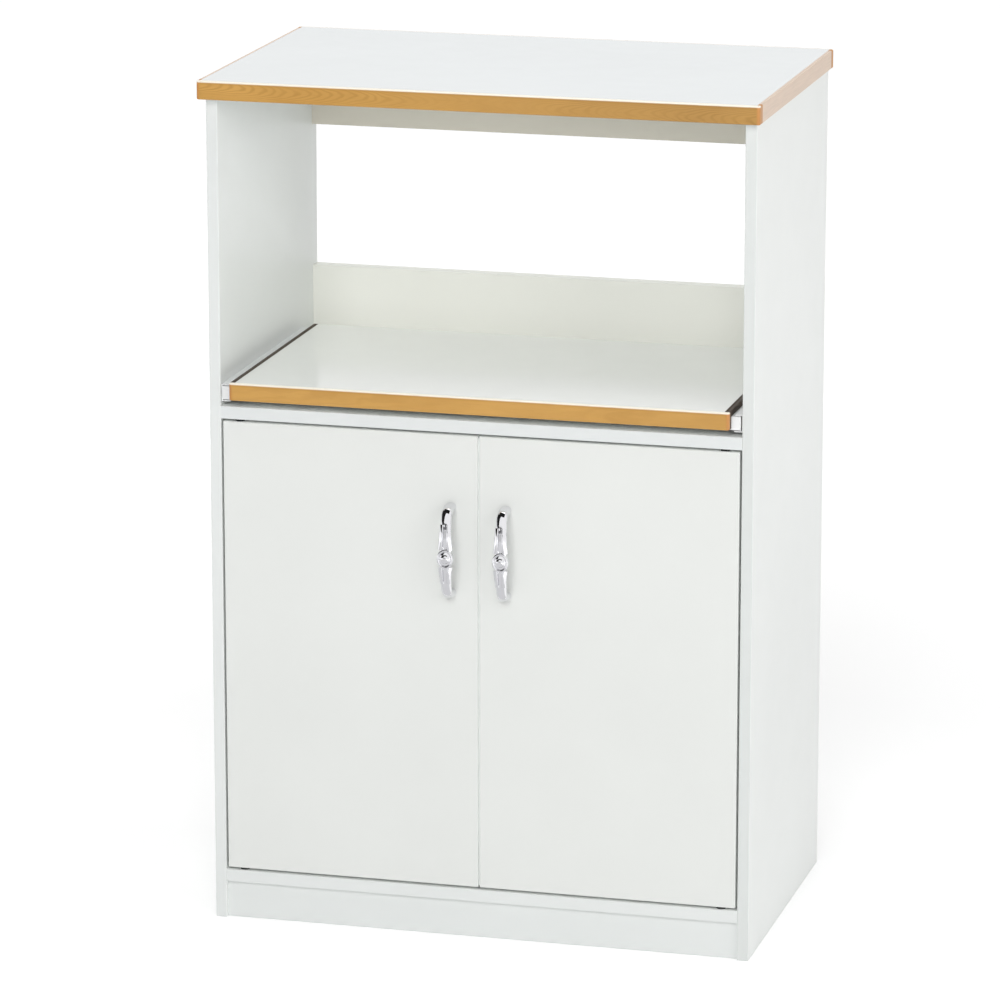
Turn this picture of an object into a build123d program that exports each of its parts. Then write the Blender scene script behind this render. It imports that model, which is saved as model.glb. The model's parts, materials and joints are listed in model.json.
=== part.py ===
from build123d import *
import math
import os

# Appliance housing cabinet in millimetres: an open appliance niche with a pull-out tray above a
# two-door cupboard. +Z is up and the front faces -Y. The origin is on the floor, midway across and
# midway from the foremost point to the back.

# Carcase boards
carcase_width = 620.0
carcase_depth = 375.0
side_thickness = 13.0
board_thickness = 14.0
board_edge_radius = 1.0
plinth_height = 43.0
plinth_recess = 5.0
back_thickness = 4.0
back_side_gap = 0.5
rail_thickness = 18.0
rail_height = 90.0
niche_height = 318.0

# Worktop
top_thickness = 21.0
top_front_overhang = 15.0
top_side_overhang = 6.0
top_edging = 4.0

# Pull-out tray
tray_thickness = 20.0
tray_proud = 9.0
tray_lift = 9.0
tray_back_gap = 41.0
tray_edging = 3.5

# Edging strips of worktop and tray
edging_corner_radius = 2.8
edging_round = 1.3

# Roller slides, with distances across measured from the side panel's inner face
slide_gap = 12.5
sheet_steel = 1.2
channel_drop = 4.0
channel_floor_gap = 1.3
channel_roof_gap = 2.3
runner_front_inset = 1.0
runner_tab_edge = 2.0
channel_tab_gap = 1.8
runner_rear_overrun = 10.0
runner_tip_gap = 0.6
runner_leg = 18.0
runner_play = 0.5
rear_roller_radius = 8.2
rear_roller_inset = 17.0
front_roller_inset = 16.0
slide_overlap = 53.0
roller_play = 0.3
roller_side_play = 0.2
roller_edge_radius = 0.8
axle_radius = 2.0
axle_shoulder = 1.6
axle_collar_radius = 3.2
axle_head = 0.8
axle_clearance = 0.7
running_fit = 0.05
stop_height = 3.5
stop_length = 3.0
stop_play = 0.4

# Doors
door_height = 520.0
door_thickness = 16.0
door_gap = 3.0
door_side_gap = 2.5
door_centre_gap = 2.0

# Door pivots
pivot_inset = 17.5
pivot_radius = 2.5
pivot_collar_radius = 5.3
pivot_in_door = 14.0
bush_depth = 9.0
bush_wall = 1.5
bush_floor = 1.0
pivot_end_play = 0.5
pivot_running_gap = 0.3

# Handles
handle_length = 108.0
handle_drop = 130.0
handle_inset = 30.5
handle_hole_inset = 6.0
bow_projection = 25.0
bow_thickness = 5.5
bow_shoulder_drop = 6.0
bow_shoulder_inset = 7.0
bow_end_reach = 12.4
bow_end_round = 1.4
foot_length = 11.0
foot_reach = 8.0
foot_round = 3.0
arm_end_width = 12.5
arm_knot_width = 15.0
boss_drop = 5.0
boss_half_width = 9.5
boss_half_height = 12.0
boss_depth = 7.0
boss_edge_radius = 2.2
boss_rise = 1.5
button_rise = 3.0
button_radius = 6.2
button_edge_radius = 1.2

# Magnetic catch and strike plates
catch_depth = 17.0
catch_height = 16.0
catch_wall = 3.0
catch_floor = 2.0
catch_edge_radius = 1.2
catch_lug = 11.0
catch_lug_thickness = 3.0
magnet_width = 14.0
magnet_height = 9.0
magnet_depth = 10.0
magnet_proud = 0.5
strike_edge_inset = 2.0
strike_width = 18.0
strike_height = 10.0
strike_thickness = 1.0
strike_gap = 0.4

# Loose inner shelf on pins
inner_shelf_rise = 262.0
inner_shelf_setback = 45.0
inner_shelf_side_gap = 1.0
inner_shelf_back_gap = 2.0
shelf_pin_radius = 2.5
shelf_pin_in_panel = 8.0
shelf_pin_reach = 9.0
shelf_pin_pitch = 32.0
shelf_pin_steps = 2
shelf_pin_column_inset = 75.0

# Dowels
dowel_radius = 4.0
dowel_in_panel = 8.0
dowel_in_board = 22.0
dowel_in_top = 12.0
dowel_end_play = 1.0
dowel_inset = 60.0
rail_dowel_inset = 22.0
plinth_dowel_inset = 11.0

# Screws and nails
fastener_fit = 0.05
pan_screw_radius = 1.75
pan_head_radius = 3.4
pan_head = 1.0
pan_screw_reach = 9.0
screw_end_inset = 30.0
handle_screw_radius = 2.0
handle_screw_head_radius = 4.0
handle_screw_head = 2.6
handle_screw_engagement = 8.0
handle_screw_hole_play = 0.3
nail_radius = 0.9
nail_head_radius = 2.2
nail_head = 0.8
nail_reach = 20.0
nail_count = 5

# Derived places
inner_half = carcase_width / 2 - side_thickness
handle_projection = bow_projection + button_rise
front_reach = max(handle_projection, top_front_overhang, tray_proud)
front = (front_reach - carcase_depth) / 2
back = front + carcase_depth
shelf_rear = back - back_thickness
bottom_shelf_top = plinth_height + board_thickness
door_bottom = bottom_shelf_top + door_gap
door_top = door_bottom + door_height
fixed_shelf_bottom = door_top + door_gap
fixed_shelf_top = fixed_shelf_bottom + board_thickness
tray_bottom = fixed_shelf_top + tray_lift
tray_top = tray_bottom + tray_thickness
top_underside = tray_top + niche_height
overall_height = top_underside + top_thickness
door_back = front + door_thickness
pivot_y = front + door_thickness / 2
pivot_x = inner_half - door_side_gap - pivot_inset
handle_x = door_centre_gap / 2 + handle_inset
handle_z = door_top - handle_drop
handle_hole_spacing = handle_length - 2 * handle_hole_inset
bush_flange = (door_gap - pivot_running_gap) / 2
magnet_offset = door_centre_gap / 2 + strike_edge_inset + strike_width / 2
catch_width = 2 * (magnet_offset + magnet_width / 2 + catch_wall)
catch_front = door_back + strike_thickness + strike_gap + magnet_proud
magnet_z = fixed_shelf_bottom - catch_height + catch_floor + magnet_height / 2
inner_shelf_bottom = bottom_shelf_top + inner_shelf_rise
inner_shelf_front = front + inner_shelf_setback
shelf_pin_z = inner_shelf_bottom - shelf_pin_radius - fastener_fit
tray_front = front - tray_proud
tray_rear = back - rail_thickness - tray_back_gap
tray_half = inner_half - slide_gap
channel_bottom = tray_bottom - channel_drop
channel_inside = 2 * (rear_roller_radius + roller_play)
channel_floor = channel_bottom + sheet_steel
channel_ceiling = channel_floor + channel_inside
roller_z = channel_floor + channel_inside / 2
runner_flange_top = channel_ceiling - runner_play
runner_flange_bottom = runner_flange_top - sheet_steel
front_roller_radius = runner_flange_bottom - roller_play - roller_z
runner_web = slide_gap - sheet_steel
runner_flange_tip = sheet_steel + pan_head + runner_tip_gap
channel_flange = runner_web - channel_floor_gap
channel_top_flange = runner_web - channel_roof_gap
rear_roller_y = tray_rear - rear_roller_inset
front_roller_y = front + front_roller_inset
tray_travel = rear_roller_y - front_roller_y - slide_overlap
roller_offset = sheet_steel + axle_shoulder + roller_side_play
axle_reach = runner_web - pan_head - axle_clearance
roller_width = axle_reach - axle_head - roller_side_play - roller_offset

LEFT = -1
RIGHT = 1
SIDE_NAMES = {LEFT: "left", RIGHT: "right"}
parts = {}


def block(x, y, z):
    """Box that spans three pairs of limits, given in any order."""
    size = [abs(b - a) for a, b in (x, y, z)]
    middle = [(a + b) / 2 for a, b in (x, y, z)]
    return Pos(*middle) * Box(*size)


def rod(start, end, radius):
    """Round bar from one point to another."""
    axis = Vector(*end) - Vector(*start)
    seat = Plane(origin=start, z_dir=axis)
    return seat * Cylinder(radius, axis.length, align=(Align.CENTER, Align.CENTER, Align.MIN))


def across(side, distance):
    """X of a place measured inwards from a side panel's inner face."""
    return side * (inner_half - distance)


def cross_rod(side, y, z, start, end, radius):
    """Bar along X between two distances from a side panel's inner face."""
    return rod((across(side, start), y, z), (across(side, end), y, z), radius)


def group(solids):
    """Several separate solids kept as one node."""
    return Compound(children=list(solids))


def spread(first, last, count):
    """Evenly spaced places from first to last."""
    step = (last - first) / (count - 1)
    return [first + step * n for n in range(count)]


# Dowel joints: each place gives the dowel and the longer hole cut in both boards
def side_dowel(side, y, z, play=0.0, fit=0.0):
    return cross_rod(side, y, z, dowel_in_board + play, -dowel_in_panel - play, dowel_radius + fit)


def top_dowel(side, y, play=0.0, fit=0.0):
    x = across(side, -side_thickness / 2)
    low = (x, y, top_underside - dowel_in_board - play)
    high = (x, y, top_underside + dowel_in_top + play)
    return rod(low, high, dowel_radius + fit)


dowel_rows = spread(front + dowel_inset, back - dowel_inset, 3)
bottom_shelf_z = plinth_height + board_thickness / 2
fixed_shelf_z = fixed_shelf_bottom + board_thickness / 2
rail_y = back - rail_thickness / 2
rail_levels = (fixed_shelf_top, top_underside - rail_height)
plinth_y = front + plinth_recess + board_thickness / 2
shelf_dowel_places = [(y, z) for z in (bottom_shelf_z, fixed_shelf_z) for y in dowel_rows]
rail_dowel_rises = (rail_dowel_inset, rail_height - rail_dowel_inset)
rail_dowel_places = [(rail_y, low + rise) for low in rail_levels for rise in rail_dowel_rises]
plinth_dowel_places = [(plinth_y, z) for z in (plinth_dowel_inset, plinth_height - plinth_dowel_inset)]
side_dowel_places = shelf_dowel_places + rail_dowel_places + plinth_dowel_places


def side_dowels(places):
    return [side_dowel(side, y, z) for side in (LEFT, RIGHT) for y, z in places]


def side_dowel_holes(places, sides=(LEFT, RIGHT)):
    return [side_dowel(side, y, z, dowel_end_play, fastener_fit) for side in sides for y, z in places]


def top_dowel_holes(sides=(LEFT, RIGHT)):
    return [top_dowel(side, y, dowel_end_play, fastener_fit) for side in sides for y in dowel_rows]


parts["shelf_dowels"] = group(side_dowels(shelf_dowel_places))
parts["rail_dowels"] = group(side_dowels(rail_dowel_places))
parts["plinth_dowels"] = group(side_dowels(plinth_dowel_places))
parts["top_dowels"] = group(top_dowel(side, y) for side in (LEFT, RIGHT) for y in dowel_rows)

# Shelf pins and the rows of holes that they can move to
shelf_pin_columns = (front + shelf_pin_column_inset, back - shelf_pin_column_inset)
shelf_pin_levels = [shelf_pin_z + shelf_pin_pitch * n for n in range(-shelf_pin_steps, shelf_pin_steps + 1)]


def shelf_pin_holes(side):
    depth = shelf_pin_in_panel + fastener_fit
    radius = shelf_pin_radius + fastener_fit
    return [cross_rod(side, y, z, 0, -depth, radius) for y in shelf_pin_columns for z in shelf_pin_levels]


parts["shelf_pins"] = group(
    cross_rod(side, y, shelf_pin_z, shelf_pin_reach, -shelf_pin_in_panel, shelf_pin_radius)
    for side in (LEFT, RIGHT)
    for y in shelf_pin_columns
)

# Slide screw places, along the channel and along the runner
runner_start = front + runner_front_inset
channel_start = runner_start + sheet_steel + channel_tab_gap
channel_end = tray_rear
runner_end = rear_roller_y + runner_rear_overrun
screw_rows = spread(front_roller_y + screw_end_inset, rear_roller_y - screw_end_inset, 3)
runner_screw_x = slide_gap + runner_leg / 2


def channel_screw(side, y, fit=0.0):
    return cross_rod(side, y, roller_z, sheet_steel + fit, -pan_screw_reach - fit, pan_screw_radius + fit)


def runner_screw(side, y, fit=0.0):
    x = across(side, runner_screw_x)
    low = (x, y, tray_bottom - sheet_steel - fit)
    high = (x, y, tray_bottom + pan_screw_reach + fit)
    return rod(low, high, pan_screw_radius + fit)


def channel_screw_head(side, y):
    return cross_rod(side, y, roller_z, sheet_steel, sheet_steel + pan_head, pan_head_radius)


def runner_screw_head(side, y):
    x = across(side, runner_screw_x)
    seat = tray_bottom - sheet_steel
    return rod((x, y, seat - pan_head), (x, y, seat), pan_head_radius)


# Side panels stand on the floor and carry the worktop
def side_panel(side):
    panel = block((across(side, 0), across(side, -side_thickness)), (front, back), (0, top_underside))
    front_edges = panel.edges().filter_by(Axis.Z).group_by(Axis.Y)[0]
    panel = fillet(front_edges, board_edge_radius)
    holes = side_dowel_holes(side_dowel_places, [side]) + top_dowel_holes([side]) + shelf_pin_holes(side)
    holes += [channel_screw(side, y, fastener_fit) for y in screw_rows]
    return panel - holes


# A board with oak edging: the front and back strips run the full width and the side strips fit between
def limited(radius, wall):
    """Rounding that leaves part of a thin wall flat."""
    return min(radius, 0.8 * wall)


def edging_strip(x, y, z, outward):
    strip = block(x, y, z)
    edge_row = 0 if outward < 0 else -1
    corner = limited(edging_corner_radius, abs(y[1] - y[0]))
    strip = fillet(strip.edges().filter_by(Axis.Z).group_by(Axis.Y)[edge_row], corner)
    rims = []
    for face in (strip.faces().sort_by(Axis.Z)[0], strip.faces().sort_by(Axis.Z)[-1]):
        ordered = face.edges().sort_by(Axis.Y)
        rims += ordered[:-1] if outward < 0 else ordered[1:]
    return fillet(rims, limited(edging_round, corner))


def side_edging_strip(x_inner, x_outer, y, z):
    strip = block((x_inner, x_outer), y, z)
    outer_row = 0 if x_outer < x_inner else -1
    rounding = limited(edging_round, abs(x_outer - x_inner))
    return fillet(strip.edges().filter_by(Axis.Y).group_by(Axis.X)[outer_row], rounding)


def edged_board(name, half_width, y, z, edging):
    inner = half_width - edging
    low, high = y
    between = (low + edging, high - edging)
    parts[name + "_front_edging"] = edging_strip((-half_width, half_width), (low, low + edging), z, -1)
    parts[name + "_back_edging"] = edging_strip((-half_width, half_width), (high - edging, high), z, 1)
    for side in (LEFT, RIGHT):
        label = f"{name}_{SIDE_NAMES[side]}_edging"
        parts[label] = side_edging_strip(side * inner, side * half_width, between, z)
    return block((-inner, inner), between, z)


top_half = carcase_width / 2 + top_side_overhang
top_limits = (front - top_front_overhang, back)
top_board = edged_board("top", top_half, top_limits, (top_underside, overall_height), top_edging)
parts["top_board"] = top_board - top_dowel_holes()

tray_limits = (tray_front, tray_rear)
tray_board = edged_board("tray", tray_half, tray_limits, (tray_bottom, tray_top), tray_edging)
runner_screw_places = [(side, y) for side in (LEFT, RIGHT) for y in screw_rows]
parts["tray_board"] = tray_board - [runner_screw(side, y, fastener_fit) for side, y in runner_screw_places]

# Back rails above and below the opening at the back of the niche
for name, low in zip(("lower_back_rail", "upper_back_rail"), rail_levels):
    rail = block((-inner_half, inner_half), (back - rail_thickness, back), (low, low + rail_height))
    parts[name] = rail - side_dowel_holes(rail_dowel_places)


# Door pivots: a bush in the shelf above or below and a collared pin in the door's edge
def pivot_bush_hole(side, face_z, inward):
    start = (side * pivot_x, pivot_y, face_z)
    end = (side * pivot_x, pivot_y, face_z + inward * bush_depth)
    return rod(start, end, pivot_radius + bush_wall + fastener_fit)


def pivot_bush(side, face_z, inward):
    def at(rise):
        return (side * pivot_x, pivot_y, face_z + inward * rise)

    bush = rod(at(-bush_flange), at(0), pivot_collar_radius)
    bush += rod(at(0), at(bush_depth), pivot_radius + bush_wall)
    return bush - rod(at(-bush_flange), at(bush_depth - bush_floor), pivot_radius + running_fit)


def pivot_pin(side, edge_z, outward):
    def at(rise):
        return (side * pivot_x, pivot_y, edge_z + outward * rise)

    collar = door_gap - bush_flange - pivot_running_gap
    tip = door_gap + bush_depth - bush_floor - pivot_end_play
    return rod(at(-pivot_in_door), at(tip), pivot_radius) + rod(at(0), at(collar), pivot_collar_radius)


pivot_seats = ((bottom_shelf_top, -1), (fixed_shelf_bottom, 1))
door_edges = ((door_bottom, -1), (door_top, 1))

# Magnetic catch under the fixed shelf, where the two doors meet
catch_screw_x = catch_width / 2 + catch_lug / 2
catch_screw_y = catch_front + catch_depth / 2


def catch_screw(side, fit=0.0):
    low = (side * catch_screw_x, catch_screw_y, fixed_shelf_bottom - catch_lug_thickness - fit)
    high = (side * catch_screw_x, catch_screw_y, fixed_shelf_bottom + pan_screw_reach + fit)
    return rod(low, high, pan_screw_radius + fit)


def catch_screw_head(side):
    seat = fixed_shelf_bottom - catch_lug_thickness
    low = (side * catch_screw_x, catch_screw_y, seat - pan_head)
    return rod(low, (side * catch_screw_x, catch_screw_y, seat), pan_head_radius)


def magnet(side, fit=0.0):
    half = magnet_width / 2 + fit
    x = (side * magnet_offset - half, side * magnet_offset + half)
    y = (catch_front - magnet_proud, catch_front + magnet_depth + fit)
    z = (magnet_z - magnet_height / 2 - fit, magnet_z + magnet_height / 2 + fit)
    return block(x, y, z)


catch_y = (catch_front, catch_front + catch_depth)
catch_z = (fixed_shelf_bottom - catch_height, fixed_shelf_bottom)
catch_case = block((-catch_width / 2, catch_width / 2), catch_y, catch_z)
catch_case = fillet(catch_case.edges().group_by(Axis.Z)[0], catch_edge_radius)
lug_reach = catch_width / 2 + catch_lug
lug_z = (fixed_shelf_bottom - catch_lug_thickness, fixed_shelf_bottom)
catch_case += block((-lug_reach, lug_reach), catch_y, lug_z)
catch_cuts = [magnet(side, fastener_fit) for side in (LEFT, RIGHT)]
catch_cuts += [catch_screw(side, fastener_fit) for side in (LEFT, RIGHT)]
parts["catch_body"] = catch_case - catch_cuts
parts["catch_magnets"] = group(magnet(side) for side in (LEFT, RIGHT))
parts["catch_screws"] = group(catch_screw(side) + catch_screw_head(side) for side in (LEFT, RIGHT))

# Shelves and plinth between the side panels
shelf_x = (-inner_half, inner_half)


def nail_places(z):
    return [(x, z) for x in spread(-inner_half + dowel_inset, inner_half - dowel_inset, nail_count)]


def back_nail(x, z, fit=0.0):
    return rod((x, back, z), (x, back - nail_reach - fit, z), nail_radius + fit)


def back_nail_head(x, z):
    return rod((x, back, z), (x, back - nail_head, z), nail_head_radius)


def back_nail_head_seat(x, z):
    return rod((x, back, z), (x, back - nail_head - fastener_fit, z), nail_head_radius + fastener_fit)


def back_nail_holes(z):
    return [back_nail(x, level, fastener_fit) for x, level in nail_places(z)]


def shelf(low, seat_z, inward):
    board = block(shelf_x, (front, shelf_rear), (low, low + board_thickness))
    cuts = side_dowel_holes(shelf_dowel_places) + back_nail_holes(low + board_thickness / 2)
    cuts += [pivot_bush_hole(side, seat_z, inward) for side in (LEFT, RIGHT)]
    return board - cuts


parts["bottom_shelf"] = shelf(plinth_height, *pivot_seats[0])
fixed_shelf_cuts = [catch_screw(side, fastener_fit) for side in (LEFT, RIGHT)]
parts["fixed_shelf"] = shelf(fixed_shelf_bottom, *pivot_seats[1]) - fixed_shelf_cuts
plinth_front = front + plinth_recess
plinth = block(shelf_x, (plinth_front, plinth_front + board_thickness), (0, plinth_height))
parts["plinth"] = plinth - side_dowel_holes(plinth_dowel_places)

inner_shelf_half = inner_half - inner_shelf_side_gap
inner_shelf_y = (inner_shelf_front, shelf_rear - inner_shelf_back_gap)
inner_shelf_z = (inner_shelf_bottom, inner_shelf_bottom + board_thickness)
parts["inner_shelf"] = block((-inner_shelf_half, inner_shelf_half), inner_shelf_y, inner_shelf_z)

# Thin back panel of the cupboard, nailed to the rear edges of both shelves
back_half = inner_half - back_side_gap
back_panel = block((-back_half, back_half), (shelf_rear, back), (plinth_height, fixed_shelf_top))
all_nails = nail_places(bottom_shelf_z) + nail_places(fixed_shelf_z)
back_cuts = [back_nail(x, z, fastener_fit) for x, z in all_nails]
back_cuts += [back_nail_head_seat(x, z) for x, z in all_nails]
parts["cupboard_back_panel"] = back_panel - back_cuts
parts["back_panel_nails"] = group(back_nail(x, z) + back_nail_head(x, z) for x, z in all_nails)


# Roller slides: a fixed channel on each side panel and a runner under each edge of the tray
def axle(side, y, wall, inward):
    """Riveted axle from a sheet's outer face, with its shoulder and head beside the roller."""
    def bar(start, end, radius):
        return cross_rod(side, y, roller_z, wall + inward * start, wall + inward * end, radius)

    pin = bar(0, axle_reach, axle_radius)
    pin += bar(sheet_steel, sheet_steel + axle_shoulder, axle_collar_radius)
    return pin + bar(axle_reach - axle_head, axle_reach, axle_collar_radius)


def axle_hole(side, y, wall, inward):
    return cross_rod(side, y, roller_z, wall, wall + inward * sheet_steel, axle_radius + fastener_fit)


def roller(side, y, wall, inward, radius):
    start = wall + inward * roller_offset
    end = start + inward * roller_width
    body = cross_rod(side, y, roller_z, start, end, radius)
    body = fillet(body.edges().filter_by(GeomType.CIRCLE), roller_edge_radius)
    return body - cross_rod(side, y, roller_z, start, end, axle_radius + running_fit)


def slide_stop(side, y_near, y_far):
    x = (across(side, sheet_steel), across(side, channel_top_flange))
    return block(x, (y_near, y_far), (channel_floor, channel_floor + stop_height))


def slide_channel(side):
    y = (channel_start, channel_end)
    wall = across(side, 0)
    web = block((wall, across(side, sheet_steel)), y, (channel_bottom, channel_ceiling + sheet_steel))
    floor = block((wall, across(side, channel_flange)), y, (channel_bottom, channel_floor))
    roof_z = (channel_ceiling, channel_ceiling + sheet_steel)
    roof = block((wall, across(side, channel_top_flange)), y, roof_z)
    catch_rise = stop_height - roller_play
    half_chord = math.sqrt(catch_rise * (2 * rear_roller_radius - catch_rise))
    out_face = rear_roller_y - tray_travel - half_chord - stop_play
    home_face = rear_roller_y + half_chord + stop_play
    channel = web + floor + roof
    channel += slide_stop(side, out_face - stop_length, out_face)
    channel += slide_stop(side, home_face, home_face + stop_length)
    cuts = [channel_screw(side, row, fastener_fit) for row in screw_rows]
    cuts.append(axle_hole(side, front_roller_y, 0, 1))
    return channel - cuts


def slide_runner(side):
    y = (runner_start, runner_end)
    tray_face = across(side, slide_gap)
    web_face = across(side, runner_web)
    flange_end = rear_roller_y - rear_roller_radius - stop_play
    web_z = (tray_bottom - sheet_steel, runner_flange_top)
    web = block((tray_face, web_face), y, web_z)
    leg_end = across(side, slide_gap + runner_leg)
    leg = block((web_face, leg_end), y, (tray_bottom - sheet_steel, tray_bottom))
    flange_z = (runner_flange_bottom, runner_flange_top)
    flange = block((web_face, across(side, runner_flange_tip)), (runner_start, flange_end), flange_z)
    tab_y = (runner_start, runner_start + sheet_steel)
    tab = block((web_face, across(side, runner_tab_edge)), tab_y, web_z)
    cuts = [runner_screw(side, row, fastener_fit) for row in screw_rows]
    cuts.append(axle_hole(side, rear_roller_y, slide_gap, -1))
    return web + leg + flange + tab - cuts


# Doors
handle_hole_levels = (handle_z - handle_hole_spacing / 2, handle_z + handle_hole_spacing / 2)


def handle_screw(side, z):
    start = (side * handle_x, door_back, z)
    shank = rod(start, (side * handle_x, front - handle_screw_engagement, z), handle_screw_radius)
    return shank + rod(start, (side * handle_x, door_back + handle_screw_head, z), handle_screw_head_radius)


def handle_screw_hole(side, z):
    radius = handle_screw_radius + handle_screw_hole_play
    return rod((side * handle_x, door_back, z), (side * handle_x, front, z), radius)


def strike_screw(side, fit=0.0):
    place = (side * magnet_offset, door_back + strike_thickness, magnet_z)
    tip = (side * magnet_offset, door_back - pan_screw_reach - fit, magnet_z)
    return rod(place, tip, pan_screw_radius + fit)


def strike_plate(side):
    half = strike_width / 2
    x = (side * magnet_offset - half, side * magnet_offset + half)
    z = (magnet_z - strike_height / 2, magnet_z + strike_height / 2)
    plate = block(x, (door_back, door_back + strike_thickness), z)
    return plate - strike_screw(side, fastener_fit)


def door_panel(side):
    x = (side * door_centre_gap / 2, across(side, door_side_gap))
    panel = block(x, (front, door_back), (door_bottom, door_top))
    panel = fillet(panel.faces().sort_by(Axis.Y)[0].edges(), board_edge_radius)
    cuts = [handle_screw_hole(side, z) for z in handle_hole_levels]
    cuts.append(strike_screw(side, fastener_fit))
    for edge_z, outward in door_edges:
        start = (side * pivot_x, pivot_y, edge_z)
        end = (side * pivot_x, pivot_y, edge_z - outward * (pivot_in_door + fastener_fit))
        cuts.append(rod(start, end, pivot_radius + fastener_fit))
    return panel - cuts


def bow_profile():
    """Side view of the bow as (Y, Z) arcs, from the door's face out to the grip and back."""
    half = handle_length / 2
    grip = bow_projection
    shoulder_y = -(grip - bow_shoulder_drop)
    shoulder_z = half - bow_shoulder_inset
    inner_y = shoulder_y + bow_thickness
    inner_z = half - foot_length - foot_round
    lower_end = (-bow_end_reach, half - bow_end_round)
    inner_end = (-foot_reach, half - foot_length)
    outer = ThreePointArc((shoulder_y, -shoulder_z), (-grip, 0), (shoulder_y, shoulder_z))
    upper = ThreePointArc((shoulder_y, shoulder_z), lower_end, (0, half))
    top_foot = Line((0, half), (0, half - foot_length))
    upper_inner = ThreePointArc((0, half - foot_length), inner_end, (inner_y, inner_z))
    inner = ThreePointArc((inner_y, inner_z), (-grip + bow_thickness, 0), (inner_y, -inner_z))
    lower_inner = ThreePointArc((inner_y, -inner_z), (inner_end[0], -inner_end[1]), (0, foot_length - half))
    low_foot = Line((0, foot_length - half), (0, -half))
    lower = ThreePointArc((0, -half), (lower_end[0], -lower_end[1]), (shoulder_y, -shoulder_z))
    return [outer, upper, top_foot, upper_inner, inner, lower_inner, low_foot, lower]


def handle_casting():
    """Bow whose arms widen to an oval boss, seated on the plane Y = 0."""
    half = handle_length / 2
    profile = make_face(Plane.YZ * Curve(children=bow_profile()))
    bow = extrude(profile, boss_half_width, both=True)
    end, knot = arm_end_width / 2, arm_knot_width / 2
    outline = Polyline((-end, half), (-knot, -boss_drop), (-end, -half), (end, -half),
                       (knot, -boss_drop), (end, half), close=True)
    bow &= extrude(make_face(Plane.XZ * outline), handle_projection)
    boss_back = bow_projection + boss_rise - boss_depth
    seat = Plane.XZ.offset(boss_back)
    boss = extrude(seat * Ellipse(boss_half_width, boss_half_height), boss_depth)
    boss = fillet(boss.edges().group_by(Axis.Y)[0], boss_edge_radius)
    button_height = handle_projection - boss_back
    button = extrude(seat * Circle(button_radius), button_height)
    button = fillet(button.edges().group_by(Axis.Y)[0], button_edge_radius)
    return bow + Pos(0, 0, -boss_drop) * (boss + button)


def door_handle(side):
    handle = Pos(side * handle_x, front, handle_z) * handle_casting()
    depth = handle_screw_engagement + fastener_fit
    for z in handle_hole_levels:
        start = (side * handle_x, front, z)
        handle -= rod(start, (side * handle_x, front - depth, z), handle_screw_radius + fastener_fit)
    return handle


for side, name in SIDE_NAMES.items():
    parts[f"{name}_side_panel"] = side_panel(side)
    parts[f"{name}_pivot_bushes"] = group(pivot_bush(side, z, inward) for z, inward in pivot_seats)
    parts[f"{name}_slide_channel"] = slide_channel(side)
    parts[f"{name}_slide_runner"] = slide_runner(side)
    parts[f"{name}_channel_screws"] = group(
        channel_screw(side, y) + channel_screw_head(side, y) for y in screw_rows
    )
    parts[f"{name}_runner_screws"] = group(
        runner_screw(side, y) + runner_screw_head(side, y) for y in screw_rows
    )
    parts[f"{name}_front_axle"] = axle(side, front_roller_y, 0, 1)
    parts[f"{name}_rear_axle"] = axle(side, rear_roller_y, slide_gap, -1)
    parts[f"{name}_front_roller"] = roller(side, front_roller_y, 0, 1, front_roller_radius)
    parts[f"{name}_rear_roller"] = roller(side, rear_roller_y, slide_gap, -1, rear_roller_radius)
    parts[f"{name}_door_panel"] = door_panel(side)
    parts[f"{name}_handle"] = door_handle(side)
    parts[f"{name}_handle_screws"] = group(handle_screw(side, z) for z in handle_hole_levels)
    parts[f"{name}_door_pivot_pins"] = group(pivot_pin(side, z, outward) for z, outward in door_edges)
    parts[f"{name}_strike_plate"] = strike_plate(side)
    parts[f"{name}_strike_screw"] = strike_screw(side)

os.makedirs("parts", exist_ok=True)
for name, shape in parts.items():
    export_step(shape, f"parts/{name}.step")
print(len(parts), "nodes, overall height", overall_height)
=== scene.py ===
"""Finishes and cast handles of an appliance housing cabinet, with the studio that shows it."""

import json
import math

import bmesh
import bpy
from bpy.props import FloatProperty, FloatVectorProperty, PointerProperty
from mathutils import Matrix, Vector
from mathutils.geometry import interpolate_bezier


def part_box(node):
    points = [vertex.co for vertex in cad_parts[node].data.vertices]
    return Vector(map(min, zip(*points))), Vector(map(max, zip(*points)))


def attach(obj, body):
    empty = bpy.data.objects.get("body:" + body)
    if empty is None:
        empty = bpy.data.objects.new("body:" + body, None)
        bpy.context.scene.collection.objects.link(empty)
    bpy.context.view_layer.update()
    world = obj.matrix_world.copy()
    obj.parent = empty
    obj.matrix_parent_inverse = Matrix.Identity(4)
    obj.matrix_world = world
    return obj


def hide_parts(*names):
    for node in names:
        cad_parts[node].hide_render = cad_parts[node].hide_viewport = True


bl_info = {
    "name": "Appliance Housing Cabinet",
    "version": (1, 0, 0),
    "blender": (4, 5, 0),
    "location": "View3D > Sidebar > Cabinet",
    "description": "Finishes the cabinet's boards and fittings, models its handles and sets up a studio",
    "category": "Object",
}

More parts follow.
